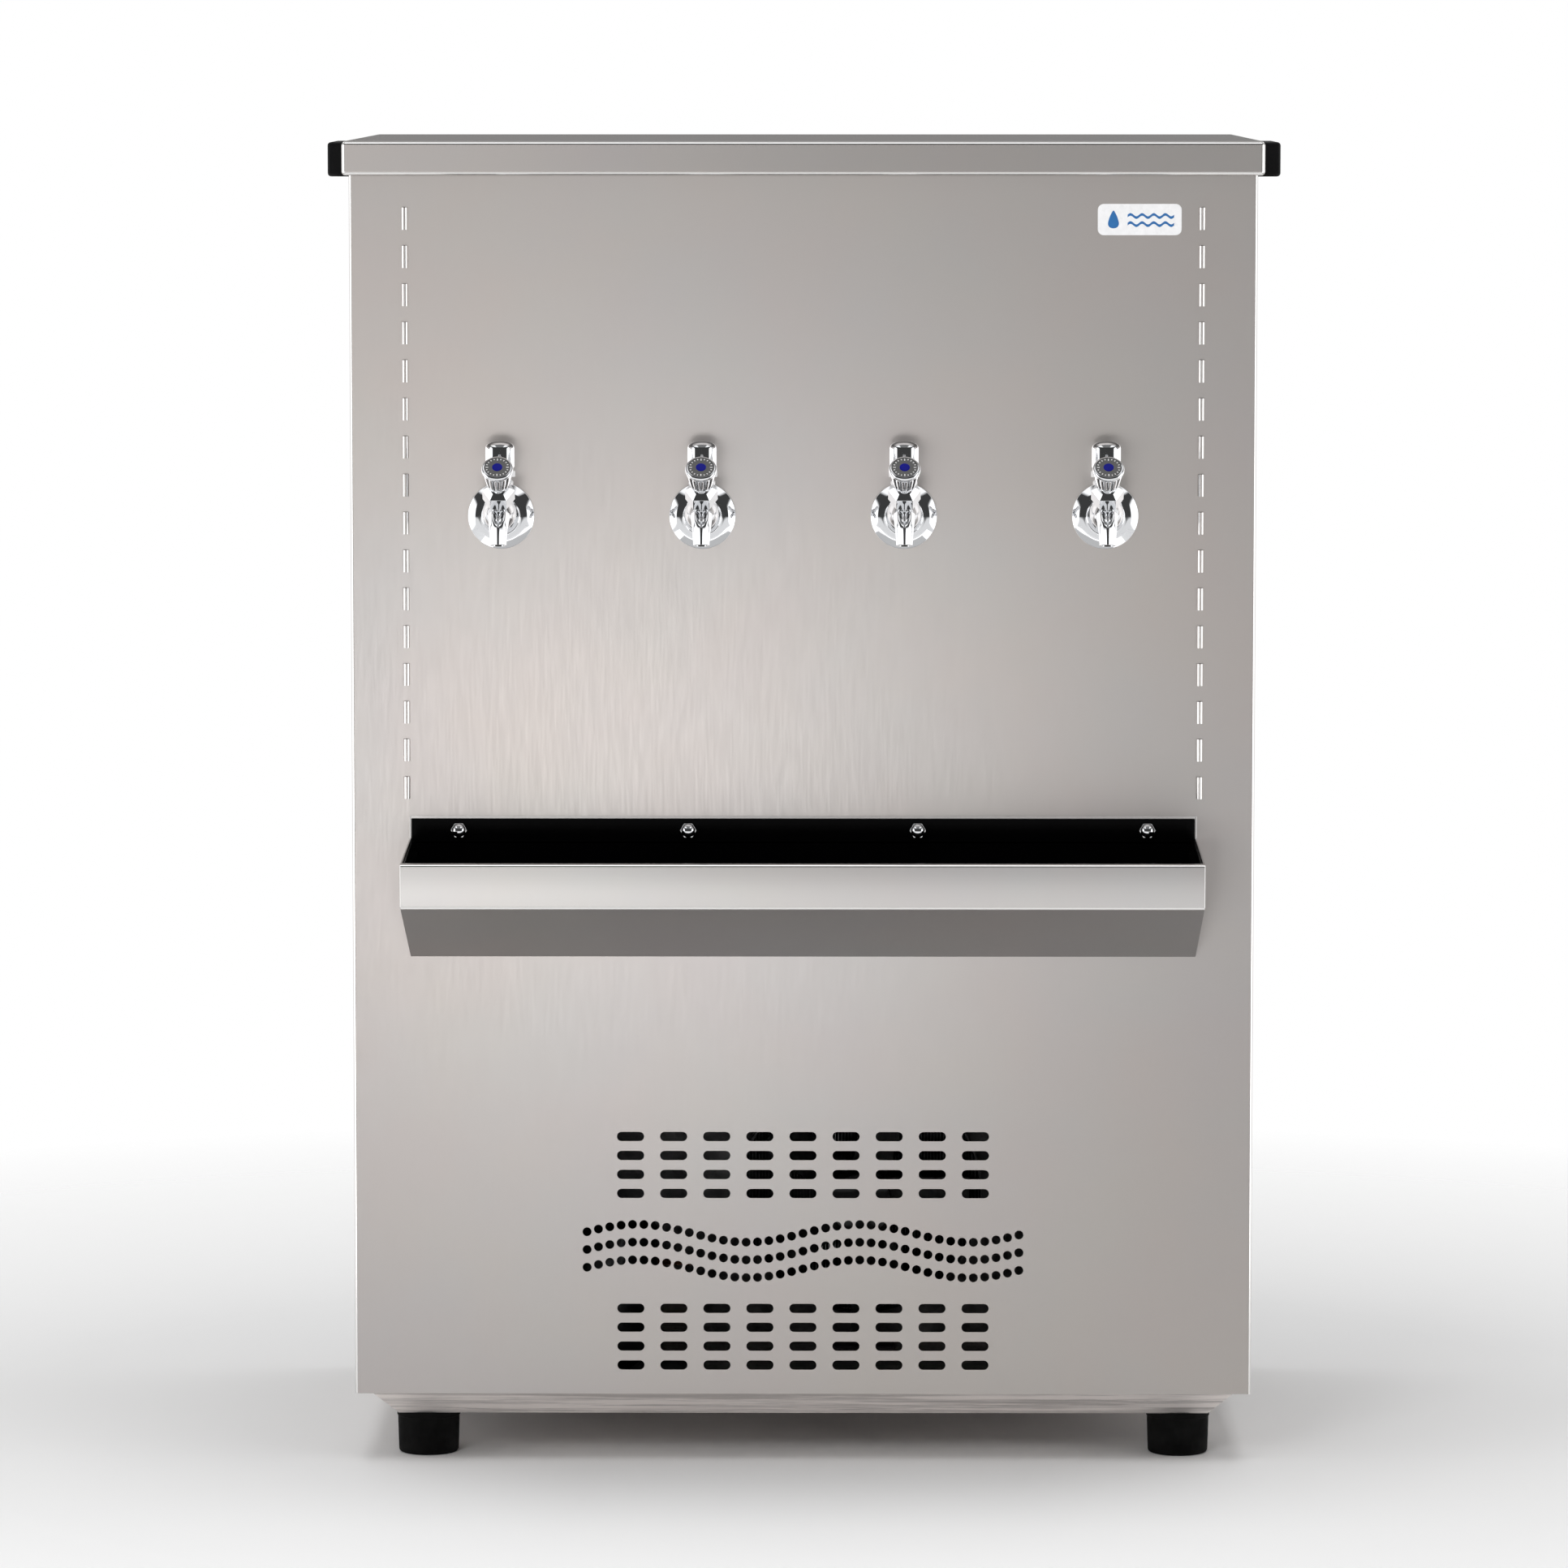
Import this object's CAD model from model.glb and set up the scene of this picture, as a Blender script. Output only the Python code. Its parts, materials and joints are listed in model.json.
"""The looks of the floor-standing water cooler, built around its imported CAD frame."""
import json
from math import cos, exp, hypot, pi, radians, sin

import bmesh
import bpy
from mathutils import Matrix, Vector


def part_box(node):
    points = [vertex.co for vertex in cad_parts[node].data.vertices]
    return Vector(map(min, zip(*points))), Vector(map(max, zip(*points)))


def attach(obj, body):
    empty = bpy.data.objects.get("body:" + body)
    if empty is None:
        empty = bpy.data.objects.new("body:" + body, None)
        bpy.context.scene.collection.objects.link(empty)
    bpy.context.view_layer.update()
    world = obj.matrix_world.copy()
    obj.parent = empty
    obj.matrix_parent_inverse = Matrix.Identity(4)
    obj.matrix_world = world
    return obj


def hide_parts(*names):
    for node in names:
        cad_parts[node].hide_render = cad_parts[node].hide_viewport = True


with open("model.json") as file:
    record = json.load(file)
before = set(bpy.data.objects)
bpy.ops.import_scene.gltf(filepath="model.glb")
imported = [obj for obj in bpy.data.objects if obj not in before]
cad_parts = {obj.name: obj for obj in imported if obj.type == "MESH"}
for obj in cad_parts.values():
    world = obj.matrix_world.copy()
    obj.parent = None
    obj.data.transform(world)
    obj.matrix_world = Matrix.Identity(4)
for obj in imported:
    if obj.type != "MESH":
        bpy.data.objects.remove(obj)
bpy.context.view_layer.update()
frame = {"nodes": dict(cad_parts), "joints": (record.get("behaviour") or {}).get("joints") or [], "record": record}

MM = 0.001
FULL = 2 * pi
scene = bpy.context.scene
nodes = frame["nodes"]
joints = {j["name"]: j for j in frame["joints"]}

# ---------------------------------------------------------------- places from the frame

lid_low, lid_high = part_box("lid_shell")
trough_low, trough_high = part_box("trough_shell")
liner_low, liner_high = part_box("trough_liner")
badge_low, badge_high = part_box("badge")
FRONT_Y = trough_high[1]
SHEET = 1.2 * MM
TAPS = 4


# ---------------------------------------------------------------- camera

CAMERA_OUT = 7.4
CAMERA_X = 0.024
CAMERA_Z = 1.418
AIM = Vector((-0.019, FRONT_Y, 0.687))
FOCAL_MM = 171.2
SENSOR_MM = 36.0


def make_camera():
    data = bpy.data.cameras.new("camera")
    data.lens = FOCAL_MM
    data.sensor_width = SENSOR_MM
    camera = bpy.data.objects.new("camera", data)
    scene.collection.objects.link(camera)
    camera.location = (CAMERA_X, FRONT_Y - CAMERA_OUT, CAMERA_Z)
    camera.rotation_euler = (AIM - camera.location).to_track_quat("-Z", "Y").to_euler()
    scene.camera = camera


# ---------------------------------------------------------------- materials

BEND_ROUGHNESS = 0.09
BEND_COLOR = (0.86, 0.85, 0.84)
# Size of the normal's Y between which metal turns from facing aside to bent, and from bent to ahead.
ASIDE_TO_BENT = (0.42, 0.5)
BENT_TO_AHEAD = (0.955, 0.985)


class Shader:
    """A Principled material with helpers that add the procedural nodes it needs."""

    def __init__(self, name, color, metallic, roughness, **sockets):
        self.material = bpy.data.materials.new(name)
        self.material.use_nodes = True
        self.tree = self.material.node_tree
        self.bsdf = self.tree.nodes["Principled BSDF"]
        self.bsdf.inputs["Base Color"].default_value = (*color, 1)
        self.bsdf.inputs["Metallic"].default_value = metallic
        self.bsdf.inputs["Roughness"].default_value = roughness
        for socket, value in sockets.items():
            self.bsdf.inputs[socket.replace("_", " ")].default_value = value
        coords = self.node("ShaderNodeTexCoord")
        self.place = coords.outputs["Object"]

    def node(self, kind, **settings):
        made = self.tree.nodes.new(kind)
        for key, value in settings.items():
            setattr(made, key, value)
        return made

    def link(self, source, target):
        self.tree.links.new(source, target)

    def stretched(self, scale):
        mapping = self.node("ShaderNodeMapping")
        mapping.inputs["Scale"].default_value = scale
        self.link(self.place, mapping.inputs["Vector"])
        return mapping.outputs["Vector"]

    def noise(self, scale, detail=3.0, roughness=0.5, stretch=(1, 1, 1), distortion=0.0):
        noise = self.node("ShaderNodeTexNoise")
        self.link(self.stretched(stretch), noise.inputs["Vector"])
        noise.inputs["Scale"].default_value = scale
        noise.inputs["Detail"].default_value = detail
        noise.inputs["Roughness"].default_value = roughness
        noise.inputs["Distortion"].default_value = distortion
        return noise.outputs["Fac"]

    def cells(self, scale, stretch=(1, 1, 1), output="Color"):
        voronoi = self.node("ShaderNodeTexVoronoi")
        self.link(self.stretched(stretch), voronoi.inputs["Vector"])
        voronoi.inputs["Scale"].default_value = scale
        return voronoi.outputs[output]

    def spread(self, fac, low, high, start=0.3, end=0.7):
        """Maps fac from start..end to low..high."""
        span = self.node("ShaderNodeMapRange")
        self.link(fac, span.inputs["Value"])
        span.inputs["From Min"].default_value = start
        span.inputs["From Max"].default_value = end
        span.inputs["To Min"].default_value = low
        span.inputs["To Max"].default_value = high
        return span.outputs["Result"]

    def blend_color(self, fac, low, high, start=0.3, end=0.7):
        ramp = self.node("ShaderNodeValToRGB")
        self.link(fac, ramp.inputs["Fac"])
        ramp.color_ramp.elements[0].position = start
        ramp.color_ramp.elements[0].color = (*low, 1)
        ramp.color_ramp.elements[1].position = end
        ramp.color_ramp.elements[1].color = (*high, 1)
        return ramp.outputs["Color"]

    def mixed(self, fac, a, b):
        mix = self.node("ShaderNodeMix", data_type="RGBA")
        if isinstance(fac, float):
            mix.inputs["Factor"].default_value = fac
        else:
            self.link(fac, mix.inputs["Factor"])
        self.link(a, mix.inputs[6])
        self.link(b, mix.inputs[7])
        return mix.outputs[2]

    def bent_away(self):
        """1 where the metal turns between facing the front and facing aside, up or down."""
        facing = self.node("ShaderNodeNewGeometry")
        split = self.node("ShaderNodeSeparateXYZ")
        self.link(facing.outputs["Normal"], split.inputs[0])
        ahead = self.node("ShaderNodeMath", operation="ABSOLUTE")
        self.link(split.outputs["Y"], ahead.inputs[0])
        starts = self.spread(ahead.outputs[0], 0.0, 1.0, *ASIDE_TO_BENT)
        ends = self.spread(ahead.outputs[0], 1.0, 0.0, *BENT_TO_AHEAD)
        both = self.node("ShaderNodeMath", operation="MULTIPLY")
        self.link(starts, both.inputs[0])
        self.link(ends, both.inputs[1])
        return both.outputs[0]

    def color(self, source):
        self.link(source, self.bsdf.inputs["Base Color"])

    def roughness(self, source):
        self.link(source, self.bsdf.inputs["Roughness"])

    def bump(self, height, strength, distance):
        bump = self.node("ShaderNodeBump")
        bump.inputs["Strength"].default_value = strength
        bump.inputs["Distance"].default_value = distance
        self.link(height, bump.inputs["Height"])
        self.link(bump.outputs["Normal"], self.bsdf.inputs["Normal"])


def toned(base, *factors):
    """The colour times one factor, or times a factor for each channel."""
    return tuple(c * k for c, k in zip(base, factors if len(factors) == 3 else factors * 3))


def satin_steel(name, base, rough, tint=0.03, wave=0.02, grit=0.02):
    """Satin sheet with faint warm and cool clouds, fine grain, uneven metal and burnished bends."""
    shader = Shader(name, base, 1.0, rough)
    warm = toned(base, 1 + tint, 1.0, 1 - 1.2 * tint)
    cool = toned(base, 1 - tint, 1 - 0.4 * tint, 1 + 0.4 * tint)
    clouds = shader.blend_color(shader.noise(2.6, 4.0, 0.6), cool, warm, 0.35, 0.65)
    pink = toned(base, 1 + tint, 1 - 0.5 * tint, 1 - 0.2 * tint)
    pale = toned(base, 1 + 0.5 * tint)
    tones = shader.blend_color(shader.noise(6.0, 3.0, 0.5), pink, pale, 0.35, 0.65)
    burnished = shader.node("ShaderNodeRGB")
    burnished.outputs[0].default_value = (*BEND_COLOR, 1)
    bends = shader.bent_away()
    shader.color(shader.mixed(bends, shader.mixed(0.5, clouds, tones), burnished.outputs[0]))
    grain = shader.spread(shader.noise(420.0, 4.0, 0.6, (1.0, 1.0, 0.06)), rough - grit, rough + grit)
    polish = shader.node("ShaderNodeMix", data_type="FLOAT")
    shader.link(bends, polish.inputs["Factor"])
    shader.link(grain, polish.inputs["A"])
    polish.inputs["B"].default_value = BEND_ROUGHNESS
    shader.roughness(polish.outputs["Result"])
    shader.bump(shader.noise(3.2, 1.0, 0.4), wave, 0.01)
    return shader.material


def streaked_steel(name, base, rough):
    """Bare folded sheet with long rolling streaks and dull scuffs."""
    shader = Shader(name, base, 0.7, rough)
    streaks = shader.noise(7.0, 6.0, 0.75, (0.5, 1.0, 26.0), 0.3)
    shader.color(shader.blend_color(streaks, toned(base, 0.6), base, 0.42, 0.56))
    shader.roughness(shader.spread(shader.noise(30.0, 5.0, 0.7, (1, 1, 8)), rough * 0.8, rough * 1.3))
    shader.bump(streaks, 0.1, 0.001)
    return shader.material


def chrome(name, base=(0.86, 0.87, 0.89), rough=0.045):
    """Polished chrome plate with faint wipe marks."""
    shader = Shader(name, base, 1.0, rough)
    marks = shader.noise(90.0, 4.0, 0.6, (1, 1, 3))
    shader.roughness(shader.spread(marks, rough * 0.6, rough * 1.9))
    shader.color(shader.blend_color(shader.noise(25.0), toned(base, 0.96), base))
    return shader.material


def galvanised(name, base=(0.42, 0.42, 0.425)):
    """Zinc-coated sheet: angular spangles under streaky, dusty patches."""
    shader = Shader(name, base, 0.85, 0.5)
    spangle = shader.cells(120.0)
    gray = shader.node("ShaderNodeRGBToBW")
    shader.link(spangle, gray.inputs["Color"])
    dark, light = toned(base, 0.62), toned(base, 1.35)
    zinc = shader.blend_color(gray.outputs["Val"], dark, light, 0.1, 0.9)
    streak = shader.blend_color(shader.noise(9.0, 6.0, 0.7, (1, 1, 5), 0.6), dark, light, 0.25, 0.75)
    shader.color(shader.mixed(0.65, zinc, streak))
    shader.roughness(shader.spread(shader.noise(30.0, 5.0, 0.7), 0.38, 0.66))
    shader.bump(gray.outputs["Val"], 0.08, 0.0006)
    return shader.material


def moulded(name, base, rough, grain=900.0, depth=0.12, **sockets):
    """Moulded plastic with a fine eroded texture and slightly uneven gloss."""
    shader = Shader(name, base, 0.0, rough, **sockets)
    shader.bump(shader.noise(grain, 2.0, 0.5), depth, 0.0003)
    shader.roughness(shader.spread(shader.noise(14.0, 4.0), rough * 0.88, min(1, rough * 1.14)))
    shader.color(shader.blend_color(shader.noise(8.0, 4.0), toned(base, 0.8), base, 0.3, 0.6))
    return shader.material


def rubber(name, base=(0.003, 0.003, 0.003)):
    """Dull rubber with a dusting of grey scuffs."""
    shader = Shader(name, base, 0.0, 0.8, Specular_IOR_Level=0.15)
    dusty = tuple(c * 2.2 + 0.002 for c in base)
    shader.color(shader.blend_color(shader.noise(40.0, 6.0, 0.7), base, dusty, 0.45, 0.8))
    shader.bump(shader.noise(650.0, 3.0), 0.2, 0.0004)
    shader.roughness(shader.spread(shader.noise(60.0, 4.0), 0.7, 0.92))
    return shader.material


def plain_metal(name, base, rough, stain, scale=18.0):
    """Bare metal such as brass or copper with darker tarnished patches."""
    shader = Shader(name, base, 1.0, rough)
    shader.color(shader.blend_color(shader.noise(scale, 6.0, 0.65), stain, base, 0.35, 0.62))
    shader.roughness(shader.spread(shader.noise(70.0, 5.0, 0.7), rough * 0.8, rough * 1.4))
    shader.bump(shader.noise(240.0, 3.0), 0.04, 0.0004)
    return shader.material


def foam(name):
    """Sprayed polyurethane foam: uneven colour and open pores."""
    base = (0.74, 0.62, 0.30)
    shader = Shader(name, base, 0.0, 0.95)
    shader.color(shader.blend_color(shader.noise(14.0, 6.0, 0.7), (0.60, 0.46, 0.18), base))
    shader.bump(shader.cells(300.0, output="Distance"), 0.5, 0.002)
    return shader.material


def paint(name, base, rough):
    """Sprayed paint with a faint orange-peel surface."""
    shader = Shader(name, base, 0.0, rough, Coat_Weight=0.4)
    shader.bump(shader.noise(380.0, 2.0), 0.08, 0.0004)
    worn = tuple(c * 1.8 + 0.01 for c in base)
    shader.color(shader.blend_color(shader.noise(22.0, 6.0, 0.7), base, worn, 0.5, 0.85))
    return shader.material


def fin_metal(name):
    """Thin rolled aluminium with rolling streaks."""
    base = (0.66, 0.67, 0.68)
    shader = Shader(name, base, 1.0, 0.4)
    streaks = shader.noise(160.0, 4.0, 0.6, (1, 1, 0.05))
    shader.color(shader.blend_color(streaks, toned(base, 0.75), base))
    shader.roughness(shader.spread(streaks, 0.32, 0.5))
    return shader.material


def printed(name, base, rough=0.3, coat=0.3, specular=0.5):
    """Printed film: even ink with a slight mottle."""
    shader = Shader(name, base, 0.0, rough, Coat_Weight=coat, Specular_IOR_Level=specular)
    shader.color(shader.blend_color(shader.noise(150.0, 3.0), toned(base, 0.93), base))
    shader.roughness(shader.spread(shader.noise(60.0, 3.0), rough * 0.85, rough * 1.2))
    return shader.material


def make_materials():
    return {
        "stainless_sheet": satin_steel("satin_stainless", (0.473, 0.45, 0.434), 0.34),
        "lid_steel": satin_steel("lid_stainless", (0.49, 0.47, 0.455), 0.26, 0.03, 0.05, 0.006),
        "trough_steel": satin_steel("trough_stainless", (0.70, 0.685, 0.67), 0.24, 0.03, 0.05, 0.006),
        "trough_underside": satin_steel("trough_underside", (0.34, 0.335, 0.33), 0.4, 0.03, 0.05, 0.01),
        "galvanised_sheet": galvanised("galvanised_zinc"),
        "zinc_fixings": plain_metal("zinc_plating", (0.68, 0.67, 0.62), 0.3, (0.5, 0.49, 0.44), 60.0),
        "chrome": chrome("polished_chrome"),
        "brass": plain_metal("brass_fittings", (0.72, 0.50, 0.20), 0.28, (0.45, 0.28, 0.10)),
        "copper": plain_metal("copper_pipe", (0.80, 0.40, 0.26), 0.26, (0.38, 0.17, 0.10)),
        "rubber": rubber("sealing_rubber", (0.02, 0.02, 0.021)),
        "foot_rubber": rubber("foot_rubber"),
        "black_plastic": moulded("black_plastic", (0.005, 0.005, 0.0055), 0.45, Specular_IOR_Level=0.2),
        "liner_plastic": moulded("liner_plastic", (0.0012, 0.0012, 0.0014), 0.12, 500.0, 0.02,
                                 Specular_IOR_Level=0.1),
        "grey_plastic": moulded("grey_plastic", (0.30, 0.31, 0.32), 0.5),
        "pipe_plastic": moulded("pipe_plastic", (0.74, 0.74, 0.71), 0.35),
        "float_plastic": moulded("float_plastic", (0.80, 0.22, 0.05), 0.25),
        "index_blue": printed("index_blue", (0.001, 0.003, 0.22), 0.5, 0.0, 0.12),
        "index_gray": printed("index_gray", (0.11, 0.11, 0.11), 0.5, 0.0, 0.2),
        "index_white": printed("index_white", (0.80, 0.80, 0.80), 0.35),
        "tray_steel": streaked_steel("tray_stainless", (0.98, 0.92, 0.89), 0.38),
        "badge_face": printed("badge_white", (0.93, 0.93, 0.94), 0.28),
        "badge_ink": printed("badge_blue", (0.03, 0.16, 0.42), 0.28),
        "foam": foam("insulation_foam"),
        "black_paint": paint("black_enamel", (0.012, 0.012, 0.013), 0.3),
        "fin_aluminium": fin_metal("fin_aluminium"),
    }


# ---------------------------------------------------------------- building pieces

CHROMED = ("chrome", "cabinet", "chrome")  # material, body and slot


def on_front(x, z, out=0.0):
    """A frame on the cabinet's front: X across, Y up and Z out."""
    return Matrix(((1, 0, 0, x), (0, 0, -1, FRONT_Y - out), (0, 1, 0, z), (0, 0, 0, 1)))


def piece(name, bm, material, body, slot, replaces=(), bevel=0.0, segments=3, angle=35):
    """Finishes a mesh: normals, smooth shading, bevels, and its place in the frame."""
    bmesh.ops.remove_doubles(bm, verts=bm.verts, dist=1e-6)
    bmesh.ops.recalc_face_normals(bm, faces=bm.faces)
    mesh = bpy.data.meshes.new(name)
    bm.to_mesh(mesh)
    bm.free()
    mesh.materials.append(MATERIALS[material])
    mesh.polygons.foreach_set("use_smooth", [True] * len(mesh.polygons))
    obj = bpy.data.objects.new(name, mesh)
    scene.collection.objects.link(obj)
    if bevel:
        rounding = obj.modifiers.new("rounding", "BEVEL")
        rounding.width = bevel
        rounding.segments = segments
        rounding.limit_method = "ANGLE"
        rounding.angle_limit = radians(angle)
        rounding.harden_normals = True
    else:
        mesh.set_sharp_from_angle(angle=radians(angle))
    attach(obj, body)
    if replaces:
        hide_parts(*replaces)
    return obj


def round_marked_edges(obj, width, segments):
    """Bevels the edges that carry a bevel weight."""
    rounding = obj.modifiers.new("rounding", "BEVEL")
    rounding.width = width
    rounding.segments = segments
    rounding.limit_method = "WEIGHT"
    rounding.harden_normals = True


def bridge(bm, low, high):
    """Faces between two closed rings of as many points each."""
    for k in range(len(low)):
        n = (k + 1) % len(low)
        bm.faces.new([low[k], low[n], high[n], high[k]])


def lathe_into(bm, profile, matrix, segments, radius_at=None):
    """Revolves (radius, height) points about the frame's Z; radius_at(angle, r, h) may shape it."""
    rings = []
    for r, h in profile:
        if r < 1e-7:
            rings.append([bm.verts.new(matrix @ Vector((0, 0, h)))])
            continue
        ring = []
        for k in range(segments):
            a = FULL * k / segments
            rr = radius_at(a, r, h) if radius_at else r
            ring.append(bm.verts.new(matrix @ Vector((rr * cos(a), rr * sin(a), h))))
        rings.append(ring)
    for low, high in zip(rings, rings[1:]):
        for k in range(segments):
            n = (k + 1) % segments
            corners = [low[k % len(low)], low[n % len(low)], high[n % len(high)], high[k % len(high)]]
            corners = list(dict.fromkeys(corners))  # a ring on the axis has one point
            if len(corners) > 2:
                bm.faces.new(corners)


def lathed(name, profile, matrix, segments, *finish, radius_at=None, **settings):
    """A piece that is one revolved profile."""
    bm = bmesh.new()
    lathe_into(bm, profile, matrix, segments, radius_at)
    piece(name, bm, *finish, **settings)


def arc(center, r, start, end, steps=8):
    """Points on an arc in the (radius, height) plane, from start to end in degrees."""
    angles = [radians(start + (end - start) * i / steps) for i in range(steps + 1)]
    return [(center[0] + r * cos(a), center[1] + r * sin(a)) for a in angles]


def prism_into(bm, outline, low, high, matrix):
    """A closed prism: the outline's points at two heights of the frame's Z."""
    bottom = [bm.verts.new(matrix @ Vector((x, y, low))) for x, y in outline]
    top = [bm.verts.new(matrix @ Vector((x, y, high))) for x, y in outline]
    bridge(bm, bottom, top)
    bm.faces.new(bottom[::-1])
    bm.faces.new(top)


def rounded_outline(w, h, r, steps=6):
    points = []
    for sx, sy, start in ((1, 1, 0), (-1, 1, 90), (-1, -1, 180), (1, -1, 270)):
        center = (sx * (w / 2 - r), sy * (h / 2 - r))
        points += arc(center, r, start, start + 90, steps)
    return points


def hexagon(r):
    return [(r * cos(k * pi / 3), r * sin(k * pi / 3)) for k in range(6)]


# ---------------------------------------------------------------- lid

LID_BEND = 4 * MM
GRIP_ROUNDING = 3.5 * MM
RECESS_EDGE = 0.25


def make_lid():
    """Folded lid: rounded bends all round and a narrow hem turned in below."""
    hem = 4.4 * MM
    deep = 9 * MM
    x0, y0, z0 = lid_low
    x1, y1, z1 = lid_high
    bm = bmesh.new()
    levels = []
    for inset, z in ((0, z1), (0, z0), (hem, z0), (hem, z0 + SHEET), (SHEET, z0 + SHEET),
                     (SHEET, z0 + deep)):
        ring = [(x0 + inset, y0 + inset), (x1 - inset, y0 + inset), (x1 - inset, y1 - inset),
                (x0 + inset, y1 - inset)]
        levels.append([bm.verts.new((x, y, z)) for x, y in ring])
    for low, high in zip(levels, levels[1:]):
        bridge(bm, low, high)
    bm.faces.new(levels[0])
    bm.faces.new(levels[-1])
    weight = bm.edges.layers.float.new("bevel_weight_edge")
    for edge in bm.edges:
        outer = all(v in levels[0] or v in levels[1] for v in edge.verts)
        edge[weight] = 1.0 if outer else 0.0
    lid = piece("lid_skin", bm, "lid_steel", "lid", "stainless_sheet", ["lid_shell"])
    round_marked_edges(lid, LID_BEND, 6)


def make_grip(side, name, node):
    """Moulded lift grip: a rounded bar with a finger recess below."""
    low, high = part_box(node)
    inner, outer = (low[0], high[0]) if side > 0 else (high[0], low[0])
    y0, y1, z0, z1 = low[1], high[1], low[2], high[2]
    wall, roof = 6 * MM, 8 * MM
    bm = bmesh.new()
    outline = [(inner, y0), (outer, y0), (outer, y1), (inner, y1)]
    inset = [(inner + side * wall, y0 + wall), (outer - side * wall, y0 + wall),
             (outer - side * wall, y1 - wall), (inner + side * wall, y1 - wall)]
    top = [bm.verts.new((x, y, z1)) for x, y in outline]
    foot = [bm.verts.new((x, y, z0)) for x, y in outline]
    mouth = [bm.verts.new((x, y, z0)) for x, y in inset]
    deep = [bm.verts.new((x, y, z1 - roof)) for x, y in inset]
    for low, high in ((top, foot), (foot, mouth), (mouth, deep)):
        bridge(bm, low, high)
    bm.faces.new(top)
    bm.faces.new(deep)
    weight = bm.edges.layers.float.new("bevel_weight_edge")
    for edge in bm.edges:
        a, b = (v.co for v in edge.verts)
        on_lid = abs(a.x - inner) < 1e-6 and abs(b.x - inner) < 1e-6
        outside = all(v in top or v in foot for v in edge.verts)
        edge[weight] = 0.0 if on_lid else (1.0 if outside else RECESS_EDGE)
    grip = piece(name, bm, "black_plastic", "lid", "black_plastic", [node])
    round_marked_edges(grip, GRIP_ROUNDING, 5)


# ---------------------------------------------------------------- taps

TAP_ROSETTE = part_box("tap_rosettes")
TAP_Z = (TAP_ROSETTE[0][2] + TAP_ROSETTE[1][2]) / 2
ROSETTE_R = (TAP_ROSETTE[1][2] - TAP_ROSETTE[0][2]) / 2
ROSETTE_OUT = FRONT_Y - TAP_ROSETTE[1][1]
BARREL_R = 14 * MM
BALL_OUT = 40 * MM
BALL_R = 17 * MM
COLUMN_OUT = 27 * MM
CAP_LOW, CAP_HIGH = 46 * MM, 75.5 * MM
CAP_R = 14.25 * MM
KNOB_SKIRT, KNOB_HIGH = 42.4 * MM, 68 * MM
KNOB_R = 15.5 * MM
SPOUT_DROP = 24 * MM
SPOUT_BEND = 28 * MM
SPOUT_START = BALL_OUT + 2 * MM
NOZZLE = 6 * MM
MOUTH_R = 8 * MM
BONNET_BORE = 5.4 * MM
RECESS = 0.7 * MM
INDEX_RING_R = 12.5 * MM
INDEX_R = 5 * MM
TICKS = 20


def tap_x(i):
    low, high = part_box(f"tap_{i + 1}_index")
    return (low[0] + high[0]) / 2


def knob_frame(i):
    """The knob's own frame: its Z runs up along the knob's axis from the middle of the valve."""
    joint = joints[f"knob_{i + 1}_turn"]
    axis = Vector(joint["axis"]).normalized()
    across = Vector((1, 0, 0))
    up = axis.cross(across)
    turn = Matrix((across, up, axis)).transposed().to_4x4()
    return Matrix.Translation(Vector(joint["pos_m"])) @ turn


def column_frame(i):
    return Matrix.Translation((tap_x(i), FRONT_Y - COLUMN_OUT, TAP_Z))


def spout_path(t):
    """Middle of the spout at t from 0, in the valve, to 1 at its mouth: (out, up, angle turned)."""
    curved = SPOUT_BEND * radians(80)
    s = t * (curved + NOZZLE)
    a = min(s, curved) / SPOUT_BEND
    straight = max(0.0, s - curved)
    out = SPOUT_START + SPOUT_BEND * sin(a) + straight * cos(a)
    up = -SPOUT_DROP + SPOUT_BEND * cos(a) - straight * sin(a)
    return out, up, a


def unit(value):
    return min(1.0, max(0.0, value))


def spout_section(angle, t):
    """How far the spout swells round its middle: an almond hollow above, a narrow ridge below."""
    off = abs((angle + pi) % FULL - pi)
    almond = sin(pi * unit((t - 0.22) / 0.44)) ** 0.7
    half_width = 0.26
    dip = 0.26 * exp(-(off / half_width) ** 2)
    lip = 0.07 * exp(-((off - 0.60) / half_width) ** 2)
    hollow = 1 - almond * dip + almond * lip
    facet, facet_at, ridge = radians(34), 0.93, 1.07
    roof = facet_at / cos(min(abs(off - facet), 1.2))
    ridged = min(roof, ridge if off < facet else 1.0)
    low = unit((t - 0.56) / 0.12)
    return hollow * (1 - low) + ridged * low


def spout_into(bm, matrix):
    """Cast spout that narrows to its mouth, hollowed and then ridged down its front."""
    steps, around = 36, 108
    taper = 4.6 * MM
    rings = []
    for i in range(steps + 1):
        t = i / steps
        out, up, a = spout_path(t)
        base = MOUTH_R + taper * (1 - t) ** 1.3
        ring = []
        for k in range(around):
            angle = FULL * k / around
            r = base * spout_section(angle, t)
            front = r * cos(angle)
            point = Vector((r * sin(angle), up + front * cos(a), out + front * sin(a)))
            ring.append(bm.verts.new(matrix @ point))
        rings.append(ring)
    out, up, a = spout_path(1.0)
    for scale, back in ((0.92, -0.35), (0.82, -0.3), (0.78, 2.0)):
        ring = []
        for k in range(around):
            angle = FULL * k / around
            r = MOUTH_R * scale * (1 + (spout_section(angle, 1.0) - 1) * 0.5)
            z = out + r * cos(angle) * sin(a) - back * MM * cos(a)
            y = up + r * cos(angle) * cos(a) + back * MM * sin(a)
            ring.append(bm.verts.new(matrix @ Vector((r * sin(angle), y, z))))
        rings.append(ring)
    for low, high in zip(rings, rings[1:]):
        bridge(bm, low, high)
    bm.faces.new(rings[0][::-1])
    bm.faces.new(rings[-1])


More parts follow.
